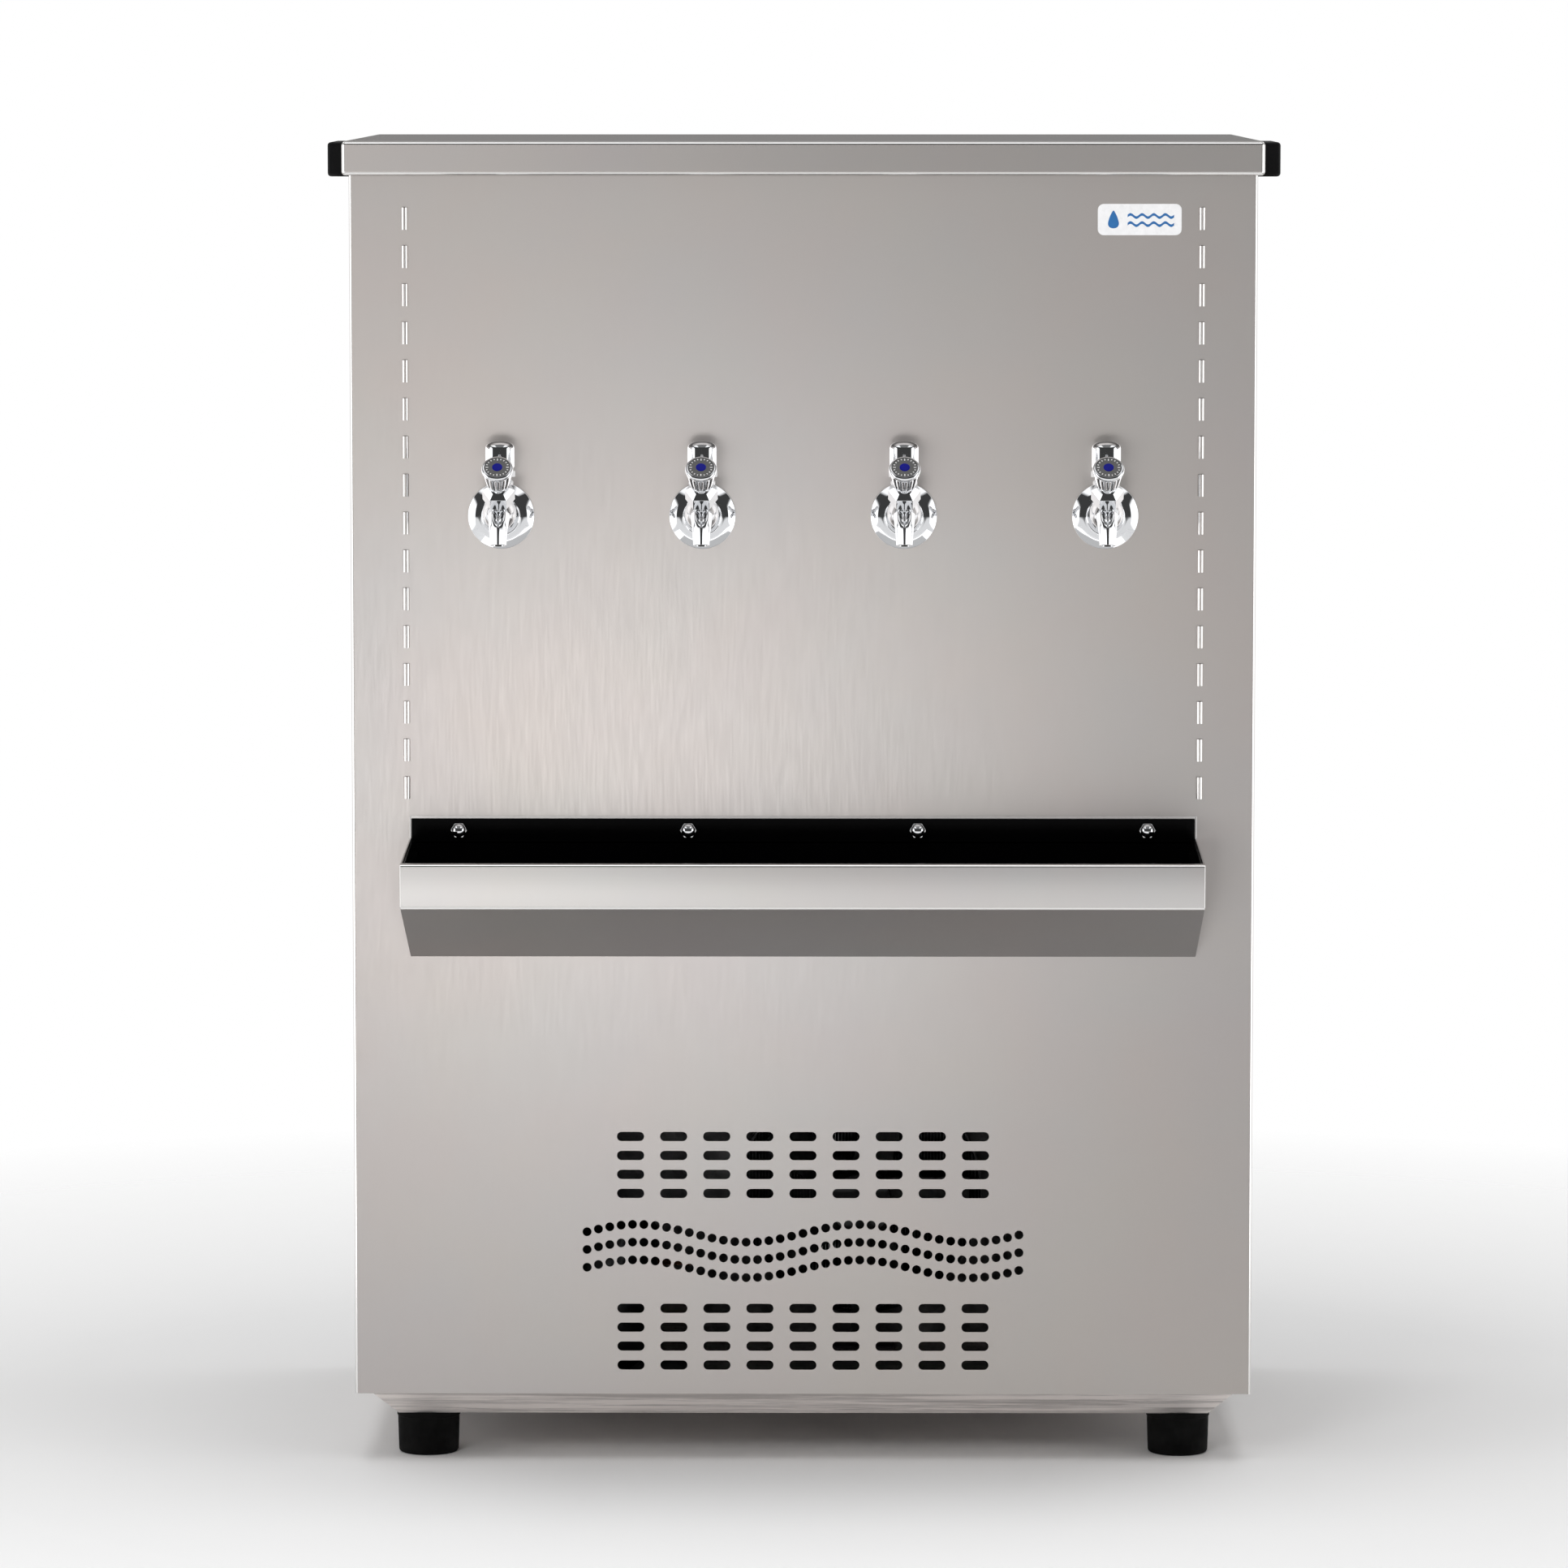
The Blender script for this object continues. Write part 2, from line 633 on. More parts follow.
def make_tap_body(i):
    """Barrel through the wall, valve ball and seat, spout, and the column up to the breaker."""
    name = f"tap_{i + 1}"
    wall = on_front(tap_x(i), TAP_Z)
    shank_r, shank_in, waist_r, collar_r = 10 * MM, 17 * MM, BARREL_R - 0.5 * MM, BARREL_R + 1.2 * MM
    barrel = [(0, -shank_in), (shank_r, -shank_in), (shank_r, 2 * MM), (BARREL_R, 2 * MM),
              (BARREL_R, 15 * MM), (waist_r, 18 * MM), (waist_r, 24 * MM), (collar_r, 28 * MM),
              (collar_r, 31 * MM), (0, 31 * MM)]
    lathed(f"{name}_barrel", barrel, wall, 64, *CHROMED, [f"{name}_body"], bevel=0.5 * MM)
    lathed(f"{name}_valve_ball", arc((0, 0), BALL_R, -90, 90, 28), knob_frame(i), 72, *CHROMED)

    seat = [(0, 4 * MM), (15.5 * MM, 4 * MM), (14.5 * MM, 12 * MM), (13 * MM, 16 * MM),
            (13 * MM, 19.6 * MM), (0, 19.6 * MM)]
    lathed(f"{name}_seat", seat, knob_frame(i), 64, *CHROMED, bevel=0.6 * MM)

    bm = bmesh.new()
    spout_into(bm, wall)
    piece(f"{name}_spout", bm, *CHROMED, angle=50)

    neck_r, bead_r = 11.2 * MM, 13.2 * MM
    column = [(0, 4 * MM), (12.6 * MM, 4 * MM), (11.6 * MM, 16 * MM), (neck_r, 22 * MM),
              (neck_r, 31 * MM), (bead_r, 32.5 * MM), (bead_r, 35.5 * MM), (neck_r, 37 * MM),
              (neck_r, 41 * MM), (0, 41 * MM)]
    lathed(f"{name}_column", column, column_frame(i), 64, *CHROMED, bevel=0.5 * MM)

    bm = bmesh.new()
    prism_into(bm, hexagon(15.3 * MM), 40 * MM, CAP_LOW, column_frame(i))
    piece(f"{name}_column_hex", bm, *CHROMED, bevel=0.7 * MM)


def make_breaker_cap(i):
    """Capped vacuum breaker: a smooth sleeve over a narrower foot, under a domed top."""
    foot_r, dome = 12.9 * MM, 7.5 * MM
    profile = [(0, CAP_LOW), (foot_r, CAP_LOW), (foot_r, CAP_LOW + 3 * MM),
               (CAP_R - 0.2 * MM, CAP_LOW + 3.6 * MM), (CAP_R, CAP_LOW + 5 * MM),
               (CAP_R, CAP_HIGH - dome)]
    profile += [(CAP_R * cos(radians(a)) ** 0.8, CAP_HIGH - dome * (1 - sin(radians(a))))
                for a in range(8, 90, 6)]
    profile += [(0, CAP_HIGH)]
    lathed(f"tap_{i + 1}_breaker_cap", profile, column_frame(i), 72,
           *CHROMED, ["tap_breaker_caps"], angle=60)


def make_rosette(i):
    """Wall rosette: a steep outer ring, a rounded crest and a flare up to the collar."""
    wall = on_front(tap_x(i), TAP_Z, ROSETTE_OUT)
    rim = ROSETTE_R
    inner = BARREL_R + 0.3 * MM
    edge = 1.0 * MM
    profile = [(inner, 0.4 * MM), (rim - 1.4 * MM, 0.0)] + arc((rim - edge, edge), edge, -90, 55, 7)
    crest_r, crest_z = rim - 12.2 * MM, 7.6 * MM
    slope = radians(34)
    crown = (rim - 6.6 * MM - crest_r) / sin(slope)
    steps = 8
    for k in range(steps + 1):
        tilt = slope * (1 - k / steps)
        profile.append((crest_r + crown * sin(tilt), crest_z - crown * (1 - cos(tilt))))
    profile += [(crest_r - 1.0 * MM, crest_z + 0.10 * MM), (crest_r - 1.8 * MM, crest_z + 0.50 * MM),
                (crest_r - 2.4 * MM, crest_z + 1.25 * MM), (crest_r - 2.7 * MM, crest_z + 2.2 * MM)]
    profile += arc((crest_r - 3.6 * MM, crest_z + 2.4 * MM), 0.9 * MM, 5, 120, 6)
    profile += [(inner, crest_z + 2.6 * MM), (inner, 0.4 * MM)]
    lathed(f"tap_{i + 1}_rosette", profile, wall, 120, *CHROMED, ["tap_rosettes"], angle=50)


def make_bonnet(i):
    """Hexagon bonnet with a faceted crown and a short neck under the knob."""
    matrix = knob_frame(i)
    low, shoulder, crown = 20 * MM, 34 * MM, 38.0 * MM

    def hexed(angle, r, _height):
        return r * cos(pi / 6) / cos((angle % (pi / 3)) - pi / 6)

    profile = [(BONNET_BORE, low), (14.8 * MM, low), (16 * MM, low + 0.9 * MM),
               (16 * MM, shoulder - 0.3 * MM), (15.7 * MM, shoulder), (10.2 * MM, crown),
               (BONNET_BORE, crown)]
    lathed(f"tap_{i + 1}_bonnet_hex", profile, matrix, 96,
           *CHROMED, ["tap_bonnets"], angle=18, radius_at=hexed)
    neck_r, neck_low, neck_high = 8.6 * MM, crown - 0.5 * MM, KNOB_SKIRT - 0.4 * MM
    neck = [(BONNET_BORE, neck_low), (neck_r, neck_low), (neck_r, neck_high), (BONNET_BORE, neck_high)]
    lathed(f"tap_{i + 1}_bonnet_neck", neck, matrix, 48, *CHROMED, bevel=0.3 * MM)


def make_knob(i):
    """Fluted knob with a bright rim, and its index disc with a ring of plain marks."""
    matrix = knob_frame(i)
    flutes, flute_depth = 12, 0.13
    body = f"knob_{i + 1}"

    def fluted(angle, r, h):
        if r < 9.8 * MM:
            return r
        rise = unit((h - KNOB_SKIRT - 1.0 * MM) / (3 * MM))
        fall = unit((KNOB_HIGH - 4.6 * MM - h) / (1.6 * MM))
        lobe = abs(cos(flutes * angle / 2)) ** 0.7
        return r * (1 - flute_depth * (1 - lobe) * rise * fall)

    profile = [(0, KNOB_SKIRT), (9.6 * MM, KNOB_SKIRT), (10.4 * MM, KNOB_SKIRT + 0.4 * MM),
               (11.0 * MM, KNOB_SKIRT + 1.4 * MM)]
    steps = 15
    for k in range(1, steps):
        t = k / steps
        profile.append((11.0 * MM + 3.7 * MM * t ** 0.8, KNOB_SKIRT + (1.4 + 19.2 * t) * MM))
    profile += [(KNOB_R - 0.4 * MM, KNOB_HIGH - 4.8 * MM), (KNOB_R, KNOB_HIGH - 3.9 * MM),
                (KNOB_R, KNOB_HIGH - 2.6 * MM), (KNOB_R - 0.4 * MM, KNOB_HIGH - 1.5 * MM),
                (KNOB_R - 1.1 * MM, KNOB_HIGH - 0.6 * MM), (KNOB_R - 2.0 * MM, KNOB_HIGH - 0.1 * MM),
                (12.9 * MM, KNOB_HIGH), (12.6 * MM, KNOB_HIGH - 0.2 * MM),
                (INDEX_RING_R, KNOB_HIGH - RECESS), (0, KNOB_HIGH - RECESS)]
    lathed(f"tap_{i + 1}_handwheel", profile, matrix, 144,
           "chrome", body, "chrome", [f"tap_{i + 1}_knob"], angle=40, radius_at=fluted)

    low, high, spindle_r = 26 * MM, KNOB_SKIRT + 0.5 * MM, 5 * MM
    spindle = [(0, low), (spindle_r, low), (spindle_r, high), (0, high)]
    lathed(f"tap_{i + 1}_spindle", spindle, matrix, 32, "brass", body, "brass", bevel=0.3 * MM)

    face = KNOB_HIGH - RECESS
    disc = [(0, face - 0.2 * MM), (INDEX_RING_R, face - 0.2 * MM), (INDEX_RING_R, face + 0.25 * MM),
            (INDEX_RING_R - 0.2 * MM, face + 0.45 * MM), (0, face + 0.45 * MM)]
    lathed(f"tap_{i + 1}_index_ring", disc, matrix, 72, "index_gray", body, "index_blue", angle=30)

    bm = bmesh.new()
    outer, half_width = 11.4 * MM, 0.46 * MM
    for k in range(TICKS):
        a = FULL * k / TICKS
        inner = outer - (1.5 if k % 5 else 2.6) * MM
        tick = [(inner, -half_width), (outer, -half_width), (outer, half_width), (inner, half_width)]
        turned = [(x * cos(a) - y * sin(a), x * sin(a) + y * cos(a)) for x, y in tick]
        prism_into(bm, turned, face + 0.40 * MM, face + 0.55 * MM, matrix)
    piece(f"tap_{i + 1}_index_marks", bm, "index_white", body, "index_blue")

    side, dome = face + 0.7 * MM, 0.5 * MM
    dot = [(0, face), (INDEX_R, face), (INDEX_R, side)]
    dot += [(INDEX_R * cos(radians(a)), side + dome * sin(radians(a))) for a in (20, 40, 60, 75)]
    dot += [(0, side + dome)]
    lathed(f"tap_{i + 1}_index_dot", dot, matrix, 48,
           "index_blue", body, "index_blue", [f"tap_{i + 1}_index"], angle=60)


def make_taps():
    for i in range(TAPS):
        make_tap_body(i)
        make_breaker_cap(i)
        make_rosette(i)
        make_bonnet(i)
        make_knob(i)


# ---------------------------------------------------------------- trough

RIM_Z = 626 * MM
REAR_RIM_Z = 633 * MM
FACE_LOW_Z = 582 * MM
NUT_Z = 641 * MM
HEM = 10 * MM
END_PLATE = 1.8 * MM


def sheet_strip(bm, path, x0, x1):
    """A bent sheet of SHEET thickness: path lists (out, up) points of its outer side in order."""
    inner = []
    for k, (px, py) in enumerate(path):
        dirs = []
        for a, b in zip(path[max(0, k - 1):k + 1], path[max(1, k):k + 2]):
            length = hypot(b[0] - a[0], b[1] - a[1])
            if length > 1e-9:
                dirs.append(((b[0] - a[0]) / length, (b[1] - a[1]) / length))
        nx = -sum(d[1] for d in dirs) / len(dirs)
        ny = sum(d[0] for d in dirs) / len(dirs)
        length = hypot(nx, ny)
        reach = SHEET / (length * length) if length > 0.3 else SHEET
        inner.append((px + nx * reach, py + ny * reach))

    loop = path + inner[::-1]
    ends = [[bm.verts.new((x, FRONT_Y - out, up)) for out, up in loop] for x in (x0, x1)]
    bridge(bm, *ends)
    for end in ends:
        for k in range(len(path) - 1):
            bm.faces.new([end[k], end[k + 1], end[-2 - k], end[-1 - k]])


def bend(corner, before, after, r, steps=6):
    """Rounds a corner of a path: points from the line towards before to the line towards after."""
    c, a, b = Vector(corner), Vector(before), Vector(after)
    u, v = (a - c).normalized(), (b - c).normalized()
    half = u.angle(v) / 2
    reach = r * cos(half) / sin(half)
    start, end = c + u * reach, c + v * reach
    centre = c + (u + v).normalized() * (r / sin(half))
    points = []
    for k in range(steps + 1):
        d = (start - centre).lerp(end - centre, k / steps)
        points.append(tuple(centre + d.normalized() * r))
    return points


def make_trough():
    """Folded trough with a hem round its front rim, an upstand behind and two welded ends."""
    x0, x1 = trough_low[0], trough_high[0]
    out = FRONT_Y - trough_low[1]
    low_z, top_z = trough_low[2], trough_high[2]
    r = 3.2 * MM
    lip = (out - HEM, RIM_Z)
    rim = (out, RIM_Z)
    face = (out, FACE_LOW_Z)
    foot = (0.0, low_z)
    top = (0.0, top_z)
    below_lip = (out - HEM, RIM_Z - 9 * MM)
    path = [(out - HEM, RIM_Z - 3 * MM)] + bend(lip, below_lip, rim, 1.3 * MM, 4)
    path += bend(rim, lip, face, r) + bend(face, rim, foot, r) + bend(foot, face, top, 2 * MM)
    path += [(0.0, top_z - 1 * MM), (0.0, top_z)]
    bm = bmesh.new()
    sheet_strip(bm, path[::-1], x0 + 0.6 * MM, x1 - 0.6 * MM)
    skin = piece("trough_skin", bm, "trough_steel", "cabinet", "stainless_sheet", ["trough_shell"],
                 angle=50)
    skin.data.materials.append(MATERIALS["trough_underside"])
    for polygon in skin.data.polygons:
        if polygon.normal.z < -0.9 and polygon.area > 0.01:
            polygon.material_index = 1

    slope = (REAR_RIM_Z - RIM_Z) / out
    outline = [(0.0, low_z + 1.6 * MM), (out - 1.0 * MM, FACE_LOW_Z + 1.3 * MM),
               (out - 1.0 * MM, RIM_Z - 0.6 * MM), (SHEET, RIM_Z - 0.2 * MM + slope * out),
               (SHEET, top_z), (0.0, top_z)]
    for side, name in ((-1, "left"), (1, "right")):
        bm = bmesh.new()
        face_x = (x0 if side < 0 else x1) - side * END_PLATE
        matrix = Matrix(((0, 0, side, face_x), (-1, 0, 0, FRONT_Y), (0, 1, 0, 0), (0, 0, 0, 1)))
        prism_into(bm, outline, 0.0, END_PLATE, matrix)
        piece(f"trough_end_{name}", bm, "trough_steel", "cabinet", "stainless_sheet", bevel=0.8 * MM,
              segments=4)


def make_liner():
    """Moulded black liner: sloping floor, stepped walls and a lip over the upstand."""
    x0, x1 = liner_low[0] + 0.2 * MM, liner_high[0] - 0.2 * MM
    back = FRONT_Y - liner_high[1]
    front = FRONT_Y - liner_low[1]
    low, top = liner_low[2], liner_high[2]
    rise = (FACE_LOW_Z - trough_low[2]) / (FRONT_Y - trough_low[1]) * (front - back)
    wall, step, floor = 2 * MM, 14 * MM, low + 3.4 * MM
    rear_top, front_top = REAR_RIM_Z - 2.5 * MM, RIM_Z - 2.6 * MM
    rear_step, front_step = REAR_RIM_Z - step, front_top - step

    bm = bmesh.new()
    rings = []
    for inset, rear_z, front_z in (
            (0, low, low + rise), (0, rear_top, front_top), (wall, rear_top, front_top),
            (wall, rear_step, front_step), (wall + 3 * MM, rear_step - 1 * MM, front_step - 1 * MM),
            (wall + 4 * MM, floor, floor + rise)):
        rear = back + min(inset, wall)
        ring = [(x0 + inset, rear, rear_z), (x1 - inset, rear, rear_z),
                (x1 - inset, front - inset, front_z), (x0 + inset, front - inset, front_z)]
        rings.append([bm.verts.new((x, FRONT_Y - o, z)) for x, o, z in ring])
    for outer, inner in zip(rings, rings[1:]):
        bridge(bm, outer, inner)
    bm.faces.new(rings[0])
    bm.faces.new(rings[-1])
    piece("trough_basin", bm, "liner_plastic", "cabinet", "black_plastic", ["trough_liner"],
          bevel=1.4 * MM, segments=4, angle=20)
    bm = bmesh.new()
    half, foot = (x1 - x0) / 2, REAR_RIM_Z - 6 * MM
    plate = [(-half, foot), (half, foot), (half, top), (-half, top)]
    prism_into(bm, plate, back, back + wall, on_front(0, 0))
    piece("trough_back_lining", bm, "liner_plastic", "cabinet", "black_plastic", bevel=0.8 * MM)


def make_dome_nuts():
    """Four dome nuts that hold the trough, each a hexagon and a dome on its bolt."""
    low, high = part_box("trough_nuts")
    count, edge, dome_r, bolt_r = 4, 8.5 * MM, 6.9 * MM, 3 * MM
    first = low[0] + edge
    pitch = (high[0] - low[0] - 2 * edge) / (count - 1)
    seat = 3.5 * MM
    for i in range(count):
        matrix = on_front(first + pitch * i, NUT_Z, seat)
        bm = bmesh.new()
        prism_into(bm, hexagon(8.3 * MM), 0.0, 5 * MM, matrix)
        piece(f"trough_nut_{i + 1}_hex", bm, *CHROMED, ["trough_nuts"], bevel=0.7 * MM)
        dome = [(0, 4 * MM), (dome_r, 4 * MM)] + arc((0, 5 * MM), dome_r, 2, 90, 14)
        lathed(f"trough_nut_{i + 1}_dome", dome, matrix, 48, *CHROMED, angle=60)
        bolt = [(0, -13.5 * MM), (bolt_r, -13.5 * MM), (bolt_r, 0.5 * MM), (0, 0.5 * MM)]
        lathed(f"trough_nut_{i + 1}_bolt", bolt, matrix, 24, "zinc_fixings", "cabinet", "zinc_fixings",
               bevel=0.3 * MM)


# ---------------------------------------------------------------- badge and feet

def make_badge():
    """A plain white badge with a generic drop over two waves."""
    cx, cz = (badge_low[0] + badge_high[0]) / 2, (badge_low[2] + badge_high[2]) / 2
    w, h = badge_high[0] - badge_low[0], badge_high[2] - badge_low[2]
    wall = on_front(cx, cz)
    thick = FRONT_Y - badge_low[1]
    ink_low = thick - 0.2 * MM
    bm = bmesh.new()
    prism_into(bm, rounded_outline(w, h, 6 * MM, 10), 0.0, thick - 0.12 * MM, wall)
    piece("badge_plate", bm, "badge_face", "cabinet", "badge_face", ["badge"], bevel=0.25 * MM)

    drop, points, r = [], 48, 7.2 * MM
    for k in range(points):
        a = FULL * k / points
        squeeze = (1 - sin(a)) / 2
        x = r * cos(a) * (0.25 + 0.75 * squeeze ** 0.75)
        y = r * sin(a) * (1.45 if sin(a) > 0 else 1.0)
        drop.append((x - 26 * MM, y - 1.5 * MM))
    bm = bmesh.new()
    prism_into(bm, drop, ink_low, thick, wall)
    steps, crests, half_line = 40, 4, 1.3 * MM
    for row in range(2):
        line = [((-12 + 46 * k / steps) * MM, (3.5 - 8 * row + 1.6 * sin(k * crests * FULL / steps)) * MM)
                for k in range(steps + 1)]
        upper = [(x, y + half_line) for x, y in line]
        lower = [(x, y - half_line) for x, y in line]
        prism_into(bm, upper[::-1] + lower, ink_low, thick, wall)
    piece("badge_drop_and_waves", bm, "badge_ink", "cabinet", "badge_face")


def make_feet():
    """Tapered rubber feet with a rounded tread and a moulded rib."""
    low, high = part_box("feet")
    rib_r, wall_r, bolt_r, socket_r, socket = 32 * MM, 31.2 * MM, 6 * MM, 12 * MM, 14 * MM
    top = high[2]
    profile = [(socket_r, socket), (socket_r, 0.0), (27 * MM, 0.0)]
    profile += arc((27.2 * MM, 3 * MM), 3 * MM, -90, -4, 6)
    profile += [(30.35 * MM, 5 * MM), (30.5 * MM, 10 * MM), (wall_r, top - 12 * MM),
                (wall_r, top - 7 * MM), (rib_r, top - 6 * MM), (rib_r, top - 0.8 * MM), (wall_r, top),
                (bolt_r, top), (bolt_r, socket), (socket_r, socket)]
    count = 0
    for x in (low[0] + rib_r, high[0] - rib_r):
        for y in (low[1] + rib_r, high[1] - rib_r):
            count += 1
            lathed(f"foot_{count}", profile, Matrix.Translation((x, y, 0)), 72,
                   "foot_rubber", "cabinet", "foot_rubber", ["feet"], angle=35)


# ---------------------------------------------------------------- condenser

def make_condenser():
    """Rippled fins on straight tubes between two end plates."""
    low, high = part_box("condenser")
    (x0, y0, z0), (x1, y1, z1) = low, high
    pitch, ripple, thick, waves, gap = 3.4 * MM, 1.7 * MM, 0.25 * MM, 7, 1 * MM
    end_plate = 1.2 * MM
    flat = Matrix.Identity(4)
    count = int((x1 - x0 - 2 * end_plate - 2 * ripple) / pitch)
    first = (x0 + x1) / 2 - pitch * (count - 1) / 2
    bm = bmesh.new()
    for i in range(count):
        line = [(first + i * pitch + (ripple if k % 2 else -ripple) * 0.9,
                 y0 + gap + (y1 - y0 - 2 * gap) * k / waves) for k in range(waves + 1)]
        outline = line + [(x + thick, y) for x, y in line[::-1]]
        prism_into(bm, outline, z0 + gap, z1 - gap, flat)
    piece("condenser_fins", bm, "fin_aluminium", "cabinet", "fin_aluminium", ["condenser"], angle=20)
    tubes, radius, chamfer = 5, 5 * MM, 0.8 * MM
    length = x1 - x0
    bm = bmesh.new()
    for i in range(tubes):
        z = z0 + (z1 - z0) * (i + 0.5) / tubes
        along = Matrix(((0, 0, 1, x0), (1, 0, 0, (y0 + y1) / 2), (0, 1, 0, z), (0, 0, 0, 1)))
        profile = [(0, 0), (radius - chamfer, 0), (radius, chamfer), (radius, length - chamfer),
                   (radius - chamfer, length), (0, length)]
        lathe_into(bm, profile, along, 24)
    piece("condenser_tubes", bm, "copper", "cabinet", "fin_aluminium", angle=50)
    bm = bmesh.new()
    inset, flange = 0.4 * MM, 9 * MM
    for x, reach in ((x0 + inset, flange), (x1 - inset - end_plate, -flange)):
        prism_into(bm, [(x, y0), (x + end_plate, y0), (x + end_plate, y1), (x, y1)], z0, z1, flat)
        a, b = sorted((x, x + reach))
        for y in (y0, y1 - end_plate):
            prism_into(bm, [(a, y), (b, y), (b, y + end_plate), (a, y + end_plate)], z0, z1, flat)
    piece("condenser_end_plates", bm, "galvanised_sheet", "cabinet", "fin_aluminium", bevel=0.2 * MM)


# ---------------------------------------------------------------- the CAD nodes that show as they are

def dress_nodes():
    """Gives every carried-over CAD node its material."""
    slots = {s["node"]: s["material_slot"] for s in frame["record"]["subparts"]}
    for name, obj in nodes.items():
        obj.data.materials.clear()
        obj.data.materials.append(MATERIALS["tray_steel" if name == "base_tray" else slots[name]])


# ---------------------------------------------------------------- room and light

def make_floor():
    """A pale floor that fades out between 0.9 and 2.2 m away, so it has no edge."""
    bm = bmesh.new()
    bmesh.ops.create_grid(bm, x_segments=8, y_segments=8, size=6)
    mesh = bpy.data.meshes.new("floor")
    bm.to_mesh(mesh)
    bm.free()
    floor = bpy.data.objects.new("floor", mesh)
    scene.collection.objects.link(floor)
    shader = Shader("floor_paint", (0.95, 0.95, 0.95), 0.0, 0.9)
    shader.color(shader.blend_color(shader.noise(0.4), (0.94, 0.94, 0.94), (0.96, 0.96, 0.96)))
    away = shader.node("ShaderNodeVectorMath", operation="LENGTH")
    shader.link(shader.place, away.inputs[0])
    shader.link(shader.spread(away.outputs["Value"], 1.0, 0.0, 0.9, 2.2), shader.bsdf.inputs["Alpha"])
    mesh.materials.append(shader.material)


def area_light(name, place, target, size, radiance, glossy):
    data = bpy.data.lights.new(name, "AREA")
    data.shape = "RECTANGLE"
    data.size, data.size_y = size
    data.energy = radiance * pi * size[0] * size[1]
    light = bpy.data.objects.new(name, data)
    scene.collection.objects.link(light)
    light.location = place
    light.rotation_euler = (Vector(target) - Vector(place)).to_track_quat("-Z", "Y").to_euler()
    light.visible_camera = False
    light.visible_glossy = glossy
    return light


# Radiance of the room's parts, as the cabinet reflects them.
DARK_CARD = 0.05
SOFTBOX = 1.6
GROUND = 0.8
BACK_BAND = 0.22
BACK_GREY = 0.6
SKYLIGHT = 1.2
ZENITH = 0.2


def make_world():
    """A studio that is dark in front, with soft boxes low at both sides and a pale ground.

    Behind it is white up to the horizon, then a dim band and grey above it. The sky is
    bright at both sides and dark in the middle.
    """
    world = bpy.data.worlds.new("studio")
    scene.world = world
    world.use_nodes = True
    tree = world.node_tree
    coords = tree.nodes.new("ShaderNodeTexCoord")
    split = tree.nodes.new("ShaderNodeSeparateXYZ")
    tree.links.new(coords.outputs["Generated"], split.inputs[0])
    x, y, z = split.outputs

    def put(source, socket):
        if isinstance(source, (int, float)):
            socket.default_value = source
        else:
            tree.links.new(source, socket)

    def math(operation, a, b=0.0):
        made = tree.nodes.new("ShaderNodeMath")
        made.operation = operation
        put(a, made.inputs[0])
        put(b, made.inputs[1])
        return made.outputs[0]

    def ease(value, start, end, low=0.0, high=1.0):
        made = tree.nodes.new("ShaderNodeMapRange")
        made.interpolation_type = "SMOOTHSTEP"
        for socket, number in zip(("Value", "From Min", "From Max", "To Min", "To Max"),
                                  (value, start, end, low, high)):
            put(number, made.inputs[socket])
        return made.outputs[0]

    sides = math("ABSOLUTE", x)
    low_side = math("MULTIPLY", ease(sides, 0.83, 0.90), ease(z, 0.52, 0.60, 1.0, 0.0))
    ground = ease(z, -0.14, -0.06, 1.0, 0.0)
    card = math("MAXIMUM", math("MULTIPLY", low_side, SOFTBOX), math("MULTIPLY", ground, GROUND))
    card = math("MAXIMUM", card, DARK_CARD)
    in_front = ease(y, -0.10, 0.06, 1.0, 0.0)
    back_top = math("MULTIPLY", ease(z, 0.3, 0.45, 0.0, BACK_GREY), ease(y, 0.15, 0.35))
    back_wall = math("MAXIMUM", ease(z, 0.012, 0.05, 1.0, BACK_BAND), back_top)
    behind = math("MULTIPLY", math("SUBTRACT", 1.0, in_front), back_wall)
    ring = math("ADD", math("MULTIPLY", card, in_front), behind)
    overhead = ease(sides, 0.35, 0.5, ZENITH, SKYLIGHT)
    total = math("MAXIMUM", ring, math("MULTIPLY", ease(z, 0.62, 0.72), overhead))
    background = tree.nodes["Background"]
    background.inputs["Color"].default_value = (1, 1, 1, 1)
    tree.links.new(total, background.inputs["Strength"])


SHEETS = ["front_panel", "side_panel_left", "side_panel_right", "rear_panel", "base_tray", "lid_skin",
          "trough_skin", "trough_end_left", "trough_end_right"]
SMOOTH_TAP_PARTS = ("_breaker_cap", "_handwheel", "_spout")
WALL_CARD_Z = 0.975


def linked(name, objects):
    """A collection that serves light linking alone."""
    collection = bpy.data.collections.new(name)
    for obj in objects:
        collection.objects.link(obj)
    return collection


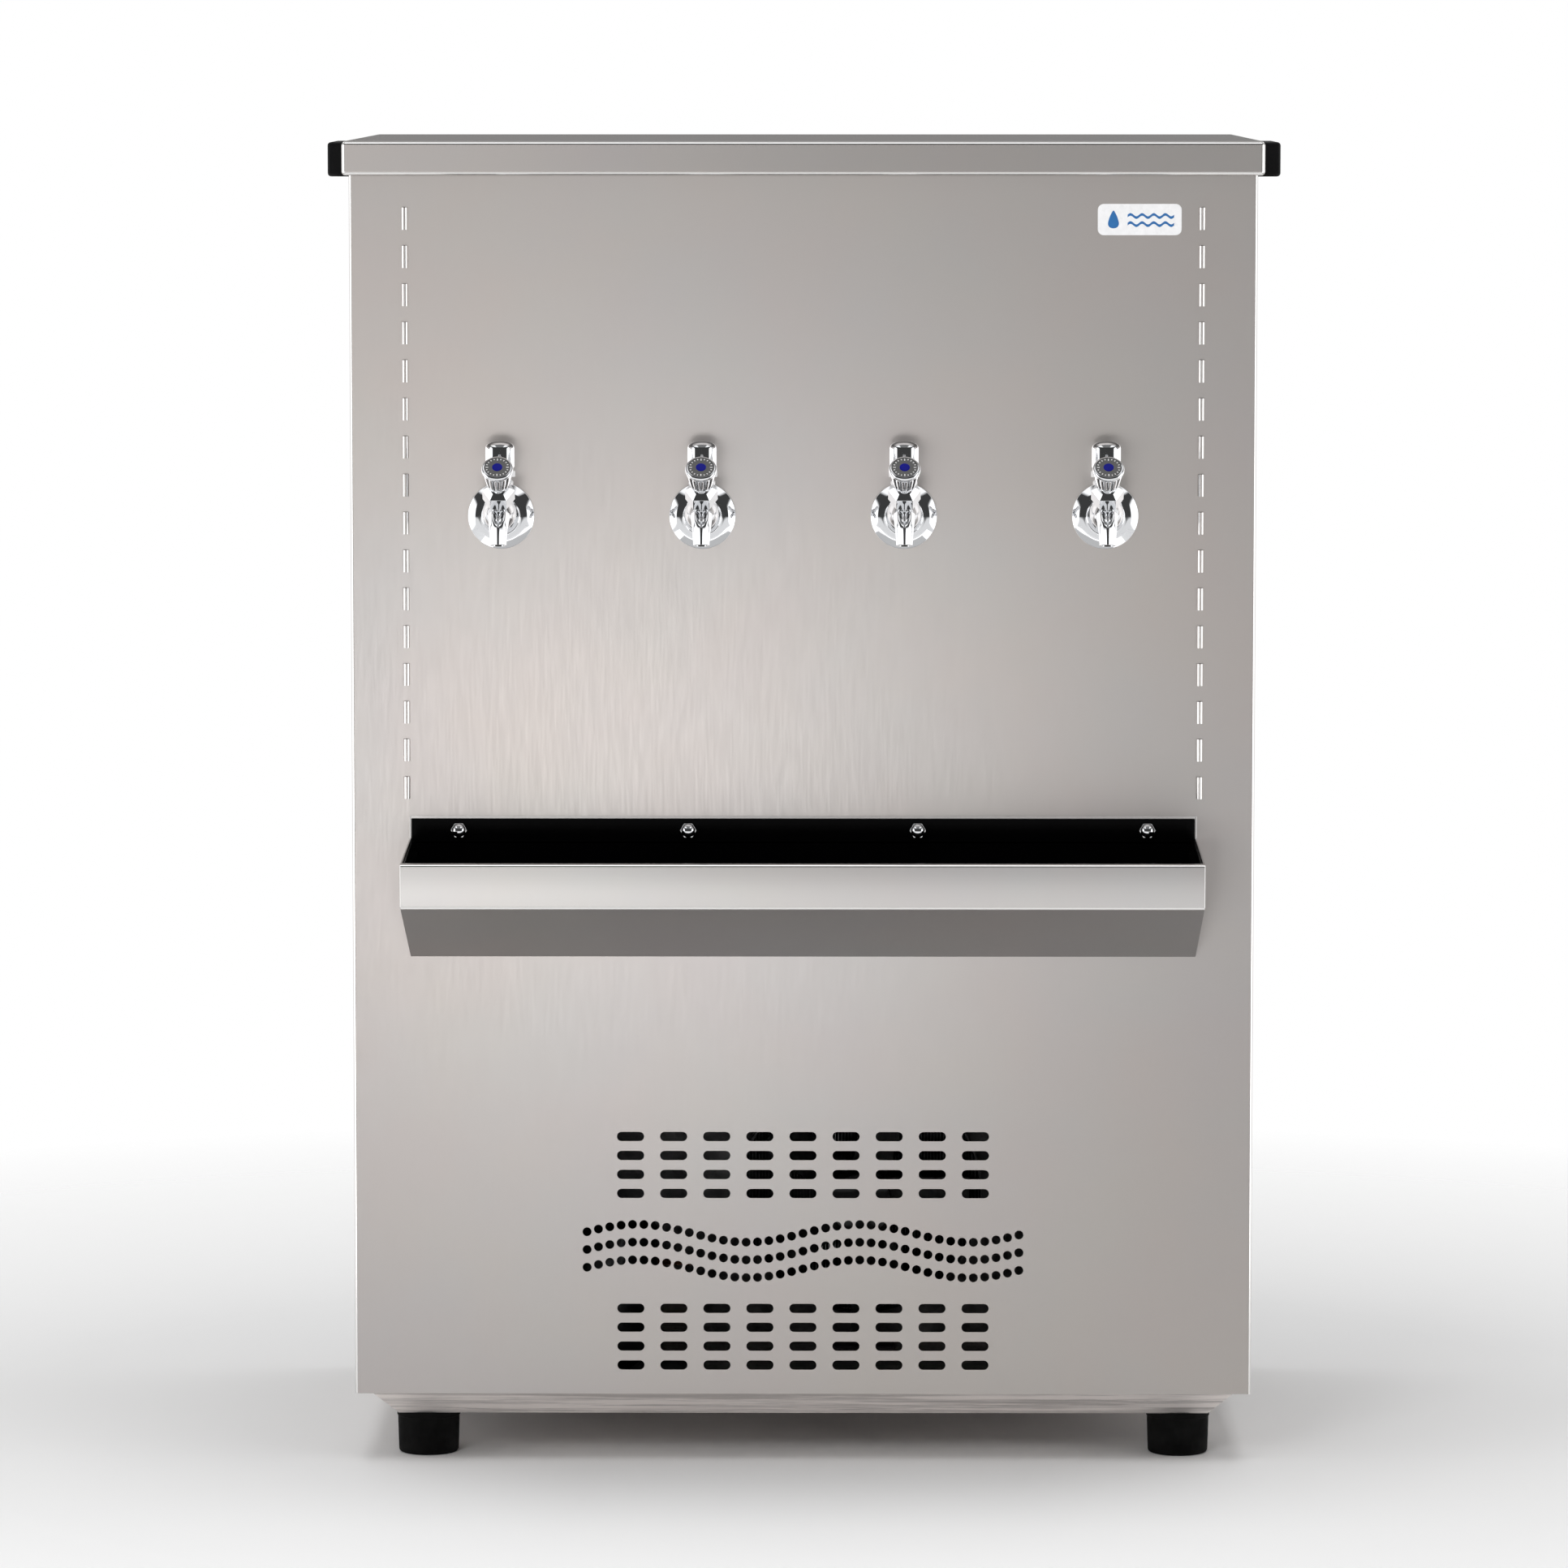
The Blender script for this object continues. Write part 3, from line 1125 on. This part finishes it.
def make_lights():
    """Soft cards and fills, each for the pieces it is linked to, and two plain fills for all."""
    def at(x, out, z):
        return (x, FRONT_Y - out, z)

    sheets = linked("sheets", [nodes.get(name) or bpy.data.objects[name] for name in SHEETS])
    panel = linked("panel_only", [nodes["front_panel"]])
    shown = [o for o in scene.collection.objects if o.type == "MESH" and o.name not in nodes]
    taps = [o for o in shown if o.name.startswith("tap_")]
    caps = linked("cap_parts", [o for o in taps if o.name.endswith(SMOOTH_TAP_PARTS)])
    bodies = linked("body_parts", [o for o in taps if not o.name.endswith(SMOOTH_TAP_PARTS)])
    badge = linked("pale_parts", [o for o in shown if o.name.startswith("badge_")])
    nuts = linked("nuts", [o for o in shown if o.name.startswith("trough_nut_")])

    wall_card = (at(0, 0.6 * MM, WALL_CARD_Z), at(0, 1, WALL_CARD_Z), (2.4, 0.11))
    # name, (place, target, size), radiance, whether it is reflected, the pieces it is for
    for name, shape, radiance, glossy, parts in (
            ("card_left", (at(-1.5, 6.0, 1.2), at(-1.5, 0, 1.2), (2.6, 3.6)), 0.86, True, sheets),
            ("card_right", (at(1.3, 6.0, 1.4), at(1.3, 0, 1.4), (2.6, 3.2)), 0.37, True, sheets),
            ("strip_left", (at(-3.6, 3.2, 0.9), at(0, 0, 0.9), (1.4, 3.0)), 1.8, True, sheets),
            ("strip_right", (at(3.6, 3.2, 0.9), at(0, 0, 0.9), (1.4, 3.0)), 1.8, True, sheets),
            ("strip_above", (at(0, 1.6, 4.2), at(0, 0, 1.2), (3.0, 1.6)), 1.8, True, sheets),
            ("panel_glow", (at(-0.25, 2.6, 0.43), at(-0.15, 0, 0.65), (0.8, 0.5)), 2.6, True, panel),
            ("cap_card", wall_card, 1.0, True, caps),
            ("body_card", wall_card, 0.45, True, bodies),
            ("low_card", (at(0, 0.11, 0.7), at(0, 0.11, 2.0), (1.0, 0.2)), 0.55, True, bodies),
            ("badge_fill", (at(0.3, 3, 1.6), at(0.33, 0, 1.25), (1, 1)), 7.5, False, badge),
            ("nut_card", (at(0, 0.12, 0.60), at(0, 0, 0.645), (0.9, 0.06)), 0.9, True, nuts),
            ("front_fill", (at(-1.5, 4.0, 2.6), at(0, 0, 0.7), (1.5, 1.5)), 6.0, False, None),
            ("top_fill", (at(0, 0.3, 4.0), (0, 0, 0), (3.0, 3.0)), 3.0, False, None)):
        light = area_light(name, *shape, radiance, glossy)
        if parts:
            light.light_linking.receiver_collection = parts
        if parts == panel:
            light.light_linking.blocker_collection = sheets


scene.view_settings.view_transform = "Standard"
make_camera()
MATERIALS = make_materials()
dress_nodes()
make_lid()
make_grip(-1, "lid_grip_moulding_left", "lid_grip_left")
make_grip(1, "lid_grip_moulding_right", "lid_grip_right")
make_taps()
make_trough()
make_liner()
make_dome_nuts()
make_badge()
make_feet()
make_condenser()
make_floor()
make_world()
make_lights()
